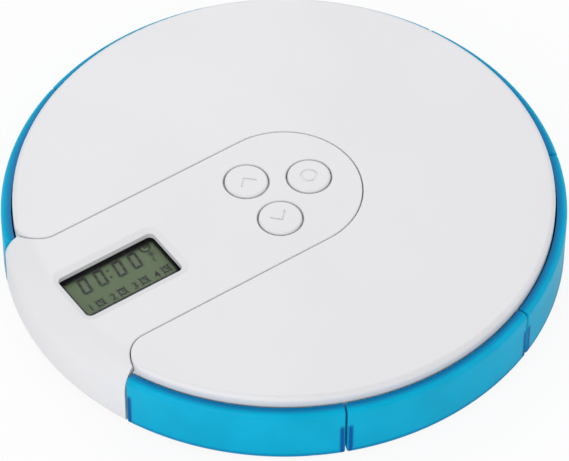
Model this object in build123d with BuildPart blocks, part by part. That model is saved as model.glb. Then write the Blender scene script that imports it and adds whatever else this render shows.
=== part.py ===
from build123d import *
import os
from math import asin, cos, degrees, radians, sin

# Round timer pill dispenser. Seven wedge drawers slide out from under a C-shaped cover. A control
# tongue with a clock display and three buttons fills the eighth sector and reaches past the centre.
# Millimetres. The origin is the centre of the footprint on the resting plane, +Z is up, the control
# tongue runs along -X and the display reads along +X.

# ---- case ------------------------------------------------------------------------------------
case_radius = 70.0          # outer face of the drawer fronts and of the front section
sector_count = 8            # one control sector, the rest are drawers
shell_wall = 1.6            # cover and control housing mouldings
seam_gap = 0.25             # open seam between cover and control housing
seam_round = 0.3            # softened edges along that seam
flank_gap = 0.2             # each straight flank to the plane between two sectors
seat_gap = 0.3              # between pieces that sit loosely on each other

# ---- base tray -------------------------------------------------------------------------------
foot_drop = 1.2             # the feet hold the base this far up
base_plate = 1.6            # thickness of the base plate
base_edge_gap = 0.4         # base edge to the inner face of the drawer fronts
base_edge_chamfer = 0.4
hub_wall = 1.6              # upright ring that the drawers back on to
hub_gap = 0.4               # ring to the drawers' back walls
rail_width = 2.0            # guide rail under each drawer
rail_height = 0.8
rail_root = 1.0             # rail start to the drawers' back faces
rail_inset = 3.5            # rail end to the inner face of the drawer front
rail_clearance = 0.2
foot_radius = 4.0
foot_recess = 0.3
foot_clearance = 0.05
foot_inset = 15.0           # foot centres to the outer face
foot_count = 4

# ---- drawers ---------------------------------------------------------------------------------
front_wall = 2.6            # drawer front thickness
front_height = 15.6
front_top_round = 1.5
front_bottom_round = 0.8
front_corner_round = 0.5    # upright corners of a front
drawer_back = 32.0          # radius of the drawers' back faces
drawer_wall = 1.2
drawer_floor = 1.5
drawer_lift = 0.25          # floor above the base plate
drawer_hold = 7.4           # length that stays under the roof when a drawer is open
floor_round = 1.2           # between floor and walls, so that a tablet slides up

# ---- roof over the drawer bays ----------------------------------------------------------------
deck_thickness = 1.3
deck_rim = 1.6              # upright lip that the cover rests on
deck_inset = 0.1            # lip to the cover's outer face
deck_board_gap = 0.2        # roof to the circuit board above it
stop_width = 12.0           # rib that catches a drawer's back wall
stop_thickness = 1.5
stop_depth = 1.3            # how far it hangs down

# ---- cover -----------------------------------------------------------------------------------
cover_ledge = 3.0           # width of the ledge that the fronts leave round the cover
cover_rise = 2.9            # flat top above the drawer fronts
cover_rim_round = 1.2       # soft upper rim
cover_corner_round = 6.5    # plan corners beside the tongue
cover_slot = 19.6           # half width of the slot that the tongue lies in
cover_post_inset = 4.5      # screw posts to the inner face of the hub ring
cover_post_angles = (45.0, 115.0, -115.0, -45.0)

# ---- control housing -------------------------------------------------------------------------
front_section_round = 8.0   # large soft edge of the front section
front_section_foot = 1.2
front_section_back = 36.0   # where its flank walls begin
ledge_drop = 0.4            # front section ledge below the cover's rim
window_inset = 7.9          # outer end of the display window to the outer face
window_length = 27.6
window_width = 14.5
window_corner = 1.5
window_depth = 2.0          # flat top to the lens
bevel_width = 1.7           # dished bevel round the window
bevel_depth = 0.55
collar_wall = 1.2
housing_post_inset = 11.65  # outer pair of screw posts to the outer face
housing_post_angle = 16.3   # and to the middle of the tongue
housing_post_gap = 3.0      # inner screw post to the battery bay

# ---- buttons ---------------------------------------------------------------------------------
hour_site = (-6.2, 7.4)
minute_site = (-6.2, -7.4)
mode_site = (7.5, 0.0)
button_hole_radius = 5.75
cap_gap = 0.4
cap_proud = 0.3
cap_round = 0.5
cap_skirt = 0.9             # flange outside the cap
cap_flange = 1.0            # flange thickness
cap_seat = 0.2              # flange to the underside of the housing
cap_travel = 0.6
cap_reserve = 0.1           # pressed flange to the switch
switch_side = 6.0
switch_height = 1.7
switch_floor = 0.3
plunger_radius = 1.45
plunger_length = 1.4
plunger_clearance = 0.05

# ---- electronics -----------------------------------------------------------------------------
board_thickness = 1.0
board_half_width = 16.9
board_inset = 9.5           # outer end of the board to the outer face
board_post_sites = ((-22.0, 14.2), (-22.0, -14.2), (8.0, 12.6), (8.0, -12.6))
board_post_radius = 1.8
board_hole_gap = 0.4
lens_thickness = 0.8
lens_border = 1.0
lens_seat = 0.15            # lens to the display glass
display_thickness = 1.4
display_border = 1.6
zebra_inset = 1.0           # strip end to the end of the board
zebra_length = 22.0
zebra_width = 1.6
chip_side = 9.0
chip_height = 1.6
chip_chamfer = 0.2
chip_gap = 2.9              # chip to the display
chip_shift = -2.0           # chip from the middle of the tongue
crystal_radius = 1.0
crystal_length = 6.0
crystal_site = (-17.5, 8.5)
buzzer_radius = 6.0
buzzer_height = 5.5
buzzer_site = (4.0, 0.0)
sound_hole_radius = 0.7
sound_hole_ring_radius = 2.4
sound_hole_count = 6        # round the one in the middle

# ---- batteries -------------------------------------------------------------------------------
cell_radius = 5.25          # two standard cells, 10.5 mm by 44.5 mm
cell_length = 44.5
cell_nub_radius = 1.9
cell_nub = 1.0
cell_chamfer = 0.4
cell_spacing = 11.2         # from axis to axis
cell_gap = 0.25             # cells to the door below and to the board above
spring_length = 3.0
spring_wire = 0.5
spring_turns = 2
spring_facets = 6
spring_radius = 2.8
contact_thickness = 0.4
contact_height = 9.0
contact_width = 9.0
contact_clearance = 0.2
bay_wall = 0.9
bay_inset = 5.4             # outer end of the bay to the outer face
bay_half_width = 11.0
bay_wall_height = 7.2
door_gap = 0.2
door_pin_radius = 0.5
door_pin_length = 0.8
door_pin_clearance = 0.05
grip_count = 4
grip_inset = 3.0            # first groove to the free end of the door
grip_spacing = 1.8
grip_width = 0.8
grip_length = 10.0
grip_depth = 0.4

# ---- screws ----------------------------------------------------------------------------------
case_screw_radius = 1.1
case_screw_head_radius = 2.0
case_screw_head = 1.6
case_screw_length = 10.0
case_screw_depth = 3.0      # head recess in the base, from the underside
case_post_radius = 2.6
case_boss_radius = 3.2
case_boss_height = 4.2
board_screw_radius = 0.85
board_screw_head_radius = 1.6
board_screw_head = 1.0
board_screw_length = 4.0
head_chamfer_share = 0.3    # of the head height
hole_clearance = 0.2        # shank through a plain hole
thread_clearance = 0.01     # shank in a tapped post
head_clearance = 0.2

# ---- places that follow ------------------------------------------------------------------------
overrun = 1.0               # cutting and blank shapes go this far past a face that they cross
blank_round = 0.1           # edge of a blank where nothing of it stays
sector_angle = 360.0 / sector_count
half_sector = sector_angle / 2
bay_half_angle = 180.0 - half_sector
drawer_angles = [180.0 - sector_angle * number for number in range(1, sector_count)]

# Heights, from the resting plane up: base plate, cells, board, switches, caps and the flat top.
base_bottom = foot_drop
base_top = base_bottom + base_plate
cell_height = base_top + cell_gap + cell_radius
board_lift = cell_height + cell_radius + cell_gap
board_top = board_lift + board_thickness
switch_top = board_top + switch_height
flange_bottom = switch_top + cap_reserve + cap_travel
flange_top = flange_bottom + cap_flange
shell_ceiling = flange_top + cap_seat
case_height = shell_ceiling + shell_wall
front_top = case_height - cover_rise
front_bottom = front_top - front_height
ledge_top = front_top - ledge_drop
lens_top = case_height - window_depth
lens_bottom = lens_top - lens_thickness
display_top = lens_bottom - lens_seat
display_bottom = display_top - display_thickness
deck_top = board_lift - deck_board_gap
deck_bottom = deck_top - deck_thickness
floor_bottom = base_top + drawer_lift
floor_top = floor_bottom + drawer_floor
drawer_wall_top = deck_bottom - seat_gap
rail_top = base_top + rail_height
bay_wall_top = base_top + bay_wall_height
case_boss_top = base_top + case_boss_height

# Radii and plan.
front_inner = case_radius - front_wall
base_radius = front_inner - base_edge_gap
cover_radius = case_radius - cover_ledge
deck_radius = cover_radius - deck_inset
hub_outer = drawer_back - hub_gap
hub_inner = hub_outer - hub_wall
rail_start = drawer_back + rail_root
rail_end = front_inner - rail_inset
drawer_travel = front_inner - drawer_back - drawer_hold
stop_radius = drawer_back + drawer_wall + drawer_travel + seat_gap
foot_ring_radius = case_radius - foot_inset
tongue_half_width = cover_slot - seam_gap
cap_radius = button_hole_radius - cap_gap
window_x = window_inset + window_length / 2 - case_radius
board_front = board_inset - case_radius
chip_x = window_x + window_length / 2 + display_border + chip_gap + chip_side / 2
bay_length = cell_length + spring_length + 2 * contact_thickness + contact_clearance
bay_front = bay_inset - case_radius
bay_back = bay_front + bay_length
bay_middle = (bay_front + bay_back) / 2
hinge_x = bay_back - door_gap - base_plate / 2
hinge_z = base_bottom + base_plate / 2
door_half_width = bay_half_width - door_gap
button_sites = (hour_site, minute_site, mode_site)
housing_post_sites = [(bay_back + bay_wall + housing_post_gap, 0)]
for angle in (180 - housing_post_angle, housing_post_angle - 180):
    post_radius = case_radius - housing_post_inset
    housing_post_sites.append((post_radius * cos(radians(angle)), post_radius * sin(radians(angle))))
cover_post_sites = []
for angle in cover_post_angles:
    post_radius = hub_inner - cover_post_inset
    cover_post_sites.append((post_radius * cos(radians(angle)), post_radius * sin(radians(angle))))
case_screw_sites = housing_post_sites + cover_post_sites


# ---- shared shapes ---------------------------------------------------------------------------
def ring_sector(inner, outer, half_angle, gap, corner=0.0):
    """Ring sector about +X whose straight flanks stand `gap` inside the half angle."""
    inner_reach = half_angle - degrees(asin(gap / inner))
    outer_reach = half_angle - degrees(asin(gap / outer))
    with BuildSketch() as sector:
        with BuildLine():
            inside = CenterArc((0, 0), inner, -inner_reach, 2 * inner_reach)
            outside = CenterArc((0, 0), outer, -outer_reach, 2 * outer_reach)
            Line(inside @ 0, outside @ 0)
            Line(inside @ 1, outside @ 1)
        make_face()
        if corner > 0:
            fillet(sector.vertices().sort_by_distance((0, 0))[-2:], corner)
    return sector.sketch


def tongue_outline(half_width):
    """Strip from beyond the rim to the centre, ended by a semicircle about the centre."""
    with BuildSketch() as tongue:
        Circle(half_width)
        Rectangle(2 * case_radius, 2 * half_width, align=(Align.MAX, Align.CENTER))
    return tongue.sketch


def cover_outline(grow):
    """Plan of the cover, grown outwards by `grow` on every side."""
    with BuildSketch() as plan:
        Circle(cover_radius + grow)
        add(tongue_outline(cover_slot - grow), mode=Mode.SUBTRACT)
        fillet(plan.vertices().sort_by(Axis.X)[:2], cover_corner_round + grow)
    return plan.sketch


def housing_outline(inset):
    """Plan of the tongue and front section above the ledge, drawn in by `inset` on every side."""
    with BuildSketch() as plan:
        Circle(case_radius - inset)
        with BuildSketch(mode=Mode.PRIVATE) as reach:
            add(tongue_outline(tongue_half_width - inset))
            add(ring_sector(front_section_back, 2 * case_radius, half_sector, flank_gap + inset)
                .rotate(Axis.Z, 180))
        add(reach.sketch, mode=Mode.INTERSECT)
        add(cover_outline(seam_gap + inset), mode=Mode.SUBTRACT)
    return plan.sketch


def rounded_disc(radius, top, top_round, bottom, bottom_round):
    """Turned blank with a quarter-round upper rim and a small round below."""
    with BuildPart() as blank:
        with BuildSketch(Plane.XZ):
            with BuildLine():
                upper = CenterArc((radius - top_round, top - top_round), top_round, 0, 90)
                lower = CenterArc((radius - bottom_round, bottom + bottom_round), bottom_round, -90, 90)
                Line(lower @ 1, upper @ 0)
                Polyline(upper @ 1, (0, top), (0, bottom), lower @ 0)
            make_face()
        revolve(axis=Axis.Z)
    return blank.part


def turned_screw(shank_radius, head_radius, head_height, length):
    """Pan-head screw pointing up, its shoulder at the origin."""
    with BuildPart() as screw:
        with BuildSketch(Plane.XY.offset(-head_height)):
            Circle(head_radius)
        extrude(amount=head_height)
        chamfer(screw.faces().sort_by(Axis.Z)[0].edges(), head_height * head_chamfer_share)
        with BuildSketch():
            Circle(shank_radius)
        extrude(amount=length)
    return screw.part


def save(piece, name):
    """Label a finished piece and write it under its own name."""
    piece.label = name
    export_step(piece, f"parts/{name}.step")


os.makedirs("parts", exist_ok=True)
bay_floor_plan = ring_sector(hub_inner, hub_outer, bay_half_angle, flank_gap)

# ---- base tray ---------------------------------------------------------------------------------
with BuildPart() as base_tray:
    with BuildSketch(Plane.XY.offset(base_bottom)):
        Circle(base_radius)
    extrude(amount=base_plate)
    chamfer(base_tray.faces().sort_by(Axis.Z)[0].edges(), base_edge_chamfer)
    with BuildSketch(Plane.XY.offset(base_top)):
        add(bay_floor_plan)
    extrude(amount=deck_bottom - base_top)
    with BuildSketch(Plane.XY.offset(base_top)):
        with PolarLocations((rail_start + rail_end) / 2, sector_count - 1, drawer_angles[-1],
                            drawer_angles[0] - drawer_angles[-1], endpoint=True):
            Rectangle(rail_end - rail_start, rail_width)
    extrude(amount=rail_height)
    with BuildSketch(Plane.XY.offset(base_top)):
        with Locations((bay_middle, 0)):
            Rectangle(bay_length + 2 * bay_wall, 2 * (bay_half_width + bay_wall))
            Rectangle(bay_length, 2 * bay_half_width, mode=Mode.SUBTRACT)
    extrude(amount=bay_wall_top - base_top)
    with BuildSketch(Plane.XY.offset(base_top)):
        with Locations(*case_screw_sites):
            Circle(case_boss_radius)
    extrude(amount=case_boss_top - base_top)
    with BuildSketch(Plane.XY.offset(base_bottom)):
        with Locations(*case_screw_sites):
            Circle(case_screw_head_radius + head_clearance)
    extrude(amount=case_screw_depth, mode=Mode.SUBTRACT)
    with BuildSketch(Plane.XY.offset(base_bottom)):
        with Locations(*case_screw_sites):
            Circle(case_screw_radius + hole_clearance)
        with Locations(buzzer_site):
            Circle(sound_hole_radius)
            with PolarLocations(sound_hole_ring_radius, sound_hole_count):
                Circle(sound_hole_radius)
    extrude(amount=case_boss_top, mode=Mode.SUBTRACT)
    with BuildSketch(Plane.XY.offset(base_bottom)):
        with Locations((bay_middle, 0)):
            Rectangle(bay_length, 2 * bay_half_width)
    extrude(amount=base_plate, mode=Mode.SUBTRACT)
    with BuildSketch(Plane.XZ.offset(-bay_half_width - door_gap - door_pin_length)):
        with Locations((hinge_x, hinge_z)):
            Circle(door_pin_radius + door_pin_clearance)
    extrude(amount=2 * (bay_half_width + door_gap + door_pin_length), mode=Mode.SUBTRACT)
    with BuildSketch(Plane.XY.offset(base_bottom)):
        with PolarLocations(foot_ring_radius, foot_count, 45):
            Circle(foot_radius + foot_clearance)
    extrude(amount=foot_recess, mode=Mode.SUBTRACT)
save(base_tray.part, "base_tray")

# ---- drawers -----------------------------------------------------------------------------------
front_blank = rounded_disc(case_radius, front_top, front_top_round, front_bottom, front_bottom_round)
front_plan = ring_sector(front_inner, case_radius + overrun, half_sector, flank_gap)
tub_plan = ring_sector(drawer_back, front_inner + front_wall / 2, half_sector, flank_gap)
hollow_plan = ring_sector(drawer_back + drawer_wall, front_inner, half_sector, flank_gap + drawer_wall)
for number, angle in enumerate(drawer_angles, start=1):
    sector_plane = Plane.XY.rotated((0, 0, angle))
    outward = Axis((0, 0, 0), sector_plane.x_dir)
    with BuildPart() as pill_drawer:
        with BuildSketch(sector_plane.offset(front_bottom)):
            add(front_plan)
        extrude(amount=front_height)
        add(front_blank, mode=Mode.INTERSECT)
        fillet(pill_drawer.edges().filter_by(Axis.Z).sort_by(outward)[-2:], front_corner_round)
        with BuildSketch(sector_plane.offset(floor_bottom)):
            add(tub_plan)
        extrude(amount=drawer_wall_top - floor_bottom)
        with BuildSketch(sector_plane.offset(floor_top)):
            add(hollow_plan)
        extrude(amount=drawer_wall_top - floor_top, mode=Mode.SUBTRACT)
        fillet(pill_drawer.edges().filter_by_position(Axis.Z, floor_top, floor_top), floor_round)
        with BuildSketch(sector_plane.offset(floor_bottom)):
            with Locations((rail_end + rail_clearance, 0)):
                Rectangle(rail_end + rail_clearance - drawer_back + overrun, rail_width + 2 * rail_clearance,
                          align=(Align.MAX, Align.CENTER))
        extrude(amount=rail_top + rail_clearance - floor_bottom, mode=Mode.SUBTRACT)
    save(pill_drawer.part, f"pill_drawer_{number}")

# ---- roof over the drawer bays ------------------------------------------------------------------
with BuildPart() as bay_deck:
    with BuildSketch(Plane.XY.offset(deck_bottom)):
        add(ring_sector(hub_inner, deck_radius, bay_half_angle, flank_gap))
    extrude(amount=deck_thickness)
    with BuildSketch(Plane.XY.offset(deck_top)):
        add(ring_sector(deck_radius - deck_rim, deck_radius, bay_half_angle, flank_gap))
    extrude(amount=front_top - deck_top)
    with BuildSketch(Plane.XY.offset(deck_bottom)):
        with PolarLocations(stop_radius + stop_thickness / 2, sector_count - 1, drawer_angles[-1],
                            drawer_angles[0] - drawer_angles[-1], endpoint=True):
            Rectangle(stop_thickness, stop_width)
    extrude(amount=-stop_depth)
save(bay_deck.part, "bay_deck")

# ---- cover -------------------------------------------------------------------------------------
cover_blank = rounded_disc(cover_radius, case_height, cover_rim_round, deck_top - overrun, blank_round)
cover_hollow = rounded_disc(cover_radius - shell_wall, shell_ceiling, blank_round, deck_top - overrun,
                            blank_round)
with BuildPart() as cover_core:
    with BuildSketch(Plane.XY.offset(deck_top)):
        add(cover_outline(-shell_wall))
    extrude(amount=shell_ceiling - deck_top)
    add(cover_hollow, mode=Mode.INTERSECT)
with BuildPart() as top_cover:
    with BuildSketch(Plane.XY.offset(front_top)):
        add(cover_outline(0))
    extrude(amount=case_height - front_top)
    top_face = top_cover.faces().sort_by(Axis.Z)[-1]
    fillet(top_face.edges().sort_by_distance((0, 0, case_height))[:3], seam_round)
    add(cover_blank, mode=Mode.INTERSECT)
    with BuildSketch(Plane.XY.offset(deck_top)):
        add(cover_outline(0))
        add(ring_sector(overrun, deck_radius - deck_rim - rail_clearance, bay_half_angle, seat_gap),
            mode=Mode.INTERSECT)
    extrude(amount=front_top - deck_top)
    add(cover_core.part, mode=Mode.SUBTRACT)
    with BuildSketch(Plane.XY.offset(case_boss_top)):
        with Locations(*cover_post_sites):
            Circle(case_post_radius)
    extrude(amount=shell_ceiling - case_boss_top + shell_wall / 2)
    with BuildSketch(Plane.XY.offset(case_boss_top)):
        with Locations(*cover_post_sites):
            Circle(case_screw_radius + thread_clearance)
    extrude(amount=case_screw_length, mode=Mode.SUBTRACT)
save(top_cover.part, "top_cover")

# ---- control housing ---------------------------------------------------------------------------
housing_blank = rounded_disc(case_radius, case_height, front_section_round, front_bottom, front_section_foot)
housing_hollow = rounded_disc(case_radius - shell_wall, shell_ceiling, front_section_round - shell_wall,
                              0, blank_round)
section_plan = ring_sector(front_section_back, case_radius + overrun, half_sector, flank_gap)
section_plan = section_plan.rotate(Axis.Z, 180)
section_hollow_plan = ring_sector(front_section_back - overrun, case_radius + overrun, half_sector,
                                  flank_gap + shell_wall).rotate(Axis.Z, 180)
with BuildPart() as housing_core:
    with BuildSketch(Plane.XY.offset(deck_top)):
        add(housing_outline(shell_wall))
    extrude(amount=shell_ceiling - deck_top)
    with BuildSketch():
        add(section_hollow_plan)
    extrude(amount=ledge_top - shell_wall)
    add(housing_hollow, mode=Mode.INTERSECT)
with BuildPart() as control_housing:
    with BuildSketch(Plane.XY.offset(deck_top)):
        add(housing_outline(0))
    extrude(amount=case_height - deck_top)
    with BuildSketch():
        add(section_plan)
    extrude(amount=ledge_top)
    add(housing_blank, mode=Mode.INTERSECT)
    add(housing_core.part, mode=Mode.SUBTRACT)
    with BuildSketch():
        Circle(front_inner)
    extrude(amount=base_top, mode=Mode.SUBTRACT)
    with BuildSketch(Plane.XY.offset(lens_top)):
        with Locations((window_x, 0)):
            RectangleRounded(window_length + 2 * collar_wall, window_width + 2 * collar_wall,
                             window_corner + collar_wall)
    extrude(amount=shell_ceiling - lens_top + shell_wall / 2)
    with BuildSketch(Plane.XY.offset(case_boss_top)):
        with Locations(*housing_post_sites):
            Circle(case_post_radius)
    extrude(amount=shell_ceiling - case_boss_top + shell_wall / 2)
    with BuildSketch(Plane.XY.offset(board_top)):
        with Locations(*board_post_sites):
            Circle(board_post_radius)
    extrude(amount=shell_ceiling - board_top + shell_wall / 2)
    with BuildSketch(Plane.XY.offset(case_boss_top)):
        with Locations(*housing_post_sites):
            Circle(case_screw_radius + thread_clearance)
    extrude(amount=case_screw_length, mode=Mode.SUBTRACT)
    with BuildSketch(Plane.XY.offset(board_top)):
        with Locations(*board_post_sites):
            Circle(board_screw_radius + thread_clearance)
    extrude(amount=board_screw_length, mode=Mode.SUBTRACT)
    with BuildSketch(Plane.XY.offset(lens_top)):
        with Locations((window_x, 0)):
            RectangleRounded(window_length, window_width, window_corner)
        with Locations(*button_sites):
            Circle(button_hole_radius)
    extrude(amount=case_height, mode=Mode.SUBTRACT)
    with BuildSketch(Plane.XY.offset(case_height - bevel_depth)):
        with Locations((window_x, 0)):
            RectangleRounded(window_length, window_width, window_corner)
    with BuildSketch(Plane.XY.offset(case_height)):
        with Locations((window_x, 0)):
            RectangleRounded(window_length + 2 * bevel_width, window_width + 2 * bevel_width,
                             window_corner + bevel_width)
    loft(mode=Mode.SUBTRACT)
    top_face = control_housing.faces().filter_by(GeomType.PLANE).sort_by(Axis.Z)[-1]
    hole_rims = top_face.edges().filter_by(GeomType.CIRCLE).filter_by(lambda rim: rim.is_closed)
    seam_edges = top_face.edges().sort_by(SortBy.LENGTH)[-3:]
    fillet(hole_rims + seam_edges, seam_round)
save(control_housing.part, "control_housing")

# ---- display -----------------------------------------------------------------------------------
with BuildPart() as lcd_lens:
    with BuildSketch(Plane.XY.offset(lens_bottom)):
        with Locations((window_x, 0)):
            Rectangle(window_length + 2 * lens_border, window_width + 2 * lens_border)
    extrude(amount=lens_thickness)
save(lcd_lens.part, "lcd_lens")

with BuildPart() as lcd_panel:
    with BuildSketch(Plane.XY.offset(display_bottom)):
        with Locations((window_x, 0)):
            Rectangle(window_length + 2 * display_border, window_width + 2 * display_border)
    extrude(amount=display_thickness)
save(lcd_panel.part, "lcd_panel")

with BuildPart() as zebra_strip:
    with BuildSketch(Plane.XY.offset(board_top)):
        with Locations((board_front + zebra_inset, window_width / 2)):
            Rectangle(zebra_length, zebra_width, align=(Align.MIN, Align.CENTER))
    extrude(amount=display_bottom - board_top)
save(zebra_strip.part, "zebra_strip")

# ---- circuit board and what is on it -----------------------------------------------------------
with BuildPart() as circuit_board:
    with BuildSketch(Plane.XY.offset(board_lift)):
        Circle(board_half_width)
        Rectangle(-board_front, 2 * board_half_width, align=(Align.MAX, Align.CENTER))
        with Locations(*housing_post_sites):
            Circle(case_post_radius + board_hole_gap, mode=Mode.SUBTRACT)
        with Locations(*board_post_sites):
            Circle(board_screw_radius + hole_clearance, mode=Mode.SUBTRACT)
    extrude(amount=board_thickness)
save(circuit_board.part, "circuit_board")

with BuildPart() as controller_chip:
    with BuildSketch(Plane.XY.offset(board_top)):
        with Locations((chip_x, chip_shift)):
            Rectangle(chip_side, chip_side)
    extrude(amount=chip_height)
    chamfer(controller_chip.faces().sort_by(Axis.Z)[-1].edges(), chip_chamfer)
save(controller_chip.part, "controller_chip")

with BuildPart() as quartz_crystal:
    with BuildSketch(Plane.YZ.offset(crystal_site[0] - crystal_length / 2)):
        with Locations((crystal_site[1], board_top + crystal_radius)):
            Circle(crystal_radius)
    extrude(amount=crystal_length)
save(quartz_crystal.part, "quartz_crystal")

with BuildPart() as buzzer:
    with BuildSketch(Plane.XY.offset(board_lift - buzzer_height)):
        with Locations(buzzer_site):
            Circle(buzzer_radius)
    extrude(amount=buzzer_height)
    with BuildSketch(Plane.XY.offset(board_lift - buzzer_height)):
        with Locations(buzzer_site):
            Circle(sound_hole_radius)
    extrude(amount=buzzer_height / 2, mode=Mode.SUBTRACT)
save(buzzer.part, "buzzer")

with BuildPart() as switch_bodies:
    with BuildSketch(Plane.XY.offset(board_top)):
        with Locations(*button_sites):
            Rectangle(switch_side, switch_side)
    extrude(amount=switch_height)
    with BuildSketch(Plane.XY.offset(board_top + switch_floor)):
        with Locations(*button_sites):
            Circle(plunger_radius + plunger_clearance)
    extrude(amount=switch_height, mode=Mode.SUBTRACT)
save(switch_bodies.part, "switch_bodies")

# ---- buttons: each cap rides on the plunger of its switch ---------------------------------------
for name, site in (("hour", hour_site), ("minute", minute_site), ("mode", mode_site)):
    with BuildPart() as button_cap:
        with BuildSketch(Plane.XY.offset(flange_bottom)):
            with Locations(site):
                Circle(cap_radius + cap_skirt)
        extrude(amount=cap_flange)
        with BuildSketch(Plane.XY.offset(flange_top)):
            with Locations(site):
                Circle(cap_radius)
        extrude(amount=case_height + cap_proud - flange_top)
        fillet(button_cap.faces().sort_by(Axis.Z)[-1].edges(), cap_round)
    save(button_cap.part, f"{name}_button")

    with BuildPart() as plunger:
        with BuildSketch(Plane.XY.offset(flange_bottom - plunger_length)):
            with Locations(site):
                Circle(plunger_radius)
        extrude(amount=plunger_length)
    save(plunger.part, f"{name}_plunger")

# ---- batteries ---------------------------------------------------------------------------------
spring_end = spring_length - contact_clearance
cell_starts = (bay_front + contact_thickness + spring_length, bay_front + contact_thickness + contact_clearance)
cell_sides = (cell_spacing / 2, -cell_spacing / 2)
nub_directions = (1, -1)
for number, (start, side, nub_way) in enumerate(zip(cell_starts, cell_sides, nub_directions), start=1):
    can_start = start if nub_way > 0 else start + cell_nub
    with BuildPart() as battery_cell:
        with BuildSketch(Plane.YZ.offset(can_start)):
            with Locations((side, cell_height)):
                Circle(cell_radius)
        extrude(amount=cell_length - cell_nub)
        chamfer(battery_cell.edges().filter_by(GeomType.CIRCLE), cell_chamfer)
        with BuildSketch(Plane.YZ.offset(start)):
            with Locations((side, cell_height)):
                Circle(cell_nub_radius)
        extrude(amount=cell_length)
    save(battery_cell.part, f"battery_cell_{number}")

with BuildPart() as battery_contacts:
    with BuildSketch(Plane.XY.offset(cell_height - contact_height / 2)):
        with Locations((bay_front, 0)):
            Rectangle(contact_thickness, cell_spacing + contact_width, align=(Align.MIN, Align.CENTER))
        with Locations((bay_back, cell_spacing / 2), (bay_back, -cell_spacing / 2)):
            Rectangle(contact_thickness, contact_width, align=(Align.MAX, Align.CENTER))
    extrude(amount=contact_height)
save(battery_contacts.part, "battery_contacts")

spring_roots = (bay_front + contact_thickness, bay_back - contact_thickness)
coil_pitch = (spring_end - spring_wire - contact_clearance) / spring_turns
with BuildPart() as battery_springs:
    for root, side, way in zip(spring_roots, cell_sides, (1, -1)):
        coil_start = root + way * (contact_clearance + spring_wire / 2)
        with BuildLine() as coil:
            Helix(pitch=coil_pitch, height=coil_pitch * spring_turns, radius=spring_radius,
                  center=(coil_start, side, cell_height), direction=(way, 0, 0))
        with BuildSketch(Plane(coil.line @ 0, z_dir=coil.line % 0)):
            RegularPolygon(spring_wire / 2, spring_facets)
        sweep(path=coil.line, is_frenet=True)
save(battery_springs.part, "battery_springs")

door_free_end = bay_front + door_gap
with BuildPart() as battery_door:
    with BuildSketch(Plane.XZ.offset(-door_half_width)):
        with Locations((hinge_x, hinge_z)):
            Circle(base_plate / 2)
            Rectangle(hinge_x - door_free_end, base_plate, align=(Align.MAX, Align.CENTER))
    extrude(amount=2 * door_half_width)
    with BuildSketch(Plane.XZ.offset(-door_half_width - door_pin_length)):
        with Locations((hinge_x, hinge_z)):
            Circle(door_pin_radius)
    extrude(amount=2 * (door_half_width + door_pin_length))
    with BuildSketch(Plane.XY.offset(base_bottom)):
        with Locations((door_free_end + grip_inset + grip_spacing * (grip_count - 1) / 2, 0)):
            with GridLocations(grip_spacing, grip_length, grip_count, 1):
                Rectangle(grip_width, grip_length)
    extrude(amount=grip_depth, mode=Mode.SUBTRACT)
save(battery_door.part, "battery_door")

# ---- feet and screws ---------------------------------------------------------------------------
with BuildPart() as rubber_feet:
    with BuildSketch():
        with PolarLocations(foot_ring_radius, foot_count, 45):
            Circle(foot_radius)
    extrude(amount=base_bottom + foot_recess)
save(rubber_feet.part, "rubber_feet")

case_screw = turned_screw(case_screw_radius, case_screw_head_radius, case_screw_head, case_screw_length)
for name, sites in (("housing_screws", housing_post_sites), ("cover_screws", cover_post_sites)):
    with BuildPart() as screws:
        with Locations(*[(x, y, base_bottom + case_screw_depth) for x, y in sites]):
            add(case_screw)
    save(screws.part, name)

board_screw = turned_screw(board_screw_radius, board_screw_head_radius, board_screw_head, board_screw_length)
with BuildPart() as board_screws:
    with Locations(*[(x, y, board_lift) for x, y in board_post_sites]):
        add(board_screw)
save(board_screws.part, "board_screws")
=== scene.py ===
from math import cos, pi, radians, sin

import bmesh
import bpy
from bpy.props import FloatProperty, FloatVectorProperty, IntProperty, PointerProperty
from mathutils import Matrix, Quaternion, Vector


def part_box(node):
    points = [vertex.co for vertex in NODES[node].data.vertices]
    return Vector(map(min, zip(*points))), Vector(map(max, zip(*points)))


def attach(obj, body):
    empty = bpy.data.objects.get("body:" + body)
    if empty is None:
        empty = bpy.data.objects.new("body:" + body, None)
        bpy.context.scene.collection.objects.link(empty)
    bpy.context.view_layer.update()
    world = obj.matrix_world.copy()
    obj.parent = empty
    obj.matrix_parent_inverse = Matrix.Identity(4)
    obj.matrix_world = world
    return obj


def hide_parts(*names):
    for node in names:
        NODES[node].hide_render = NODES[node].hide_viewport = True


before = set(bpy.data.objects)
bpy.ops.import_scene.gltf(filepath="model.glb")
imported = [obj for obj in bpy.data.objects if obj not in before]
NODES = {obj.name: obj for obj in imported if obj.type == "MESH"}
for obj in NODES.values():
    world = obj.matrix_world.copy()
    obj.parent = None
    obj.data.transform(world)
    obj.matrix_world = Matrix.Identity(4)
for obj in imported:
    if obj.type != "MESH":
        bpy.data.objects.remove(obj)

bl_info = {
    "name": "Round Pill Dispenser Finish",
    "version": (1, 0, 0),
    "blender": (4, 5, 0),
    "location": "View3D > Sidebar > Pill Box",
    "description": "Dresses a round pill dispenser: mouldings, drawers, display, buttons, fasteners, stage",
    "category": "Object",
}

MM = 0.001
SAME_PLACE = 0.001 * MM     # points nearer than this are one point

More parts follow.
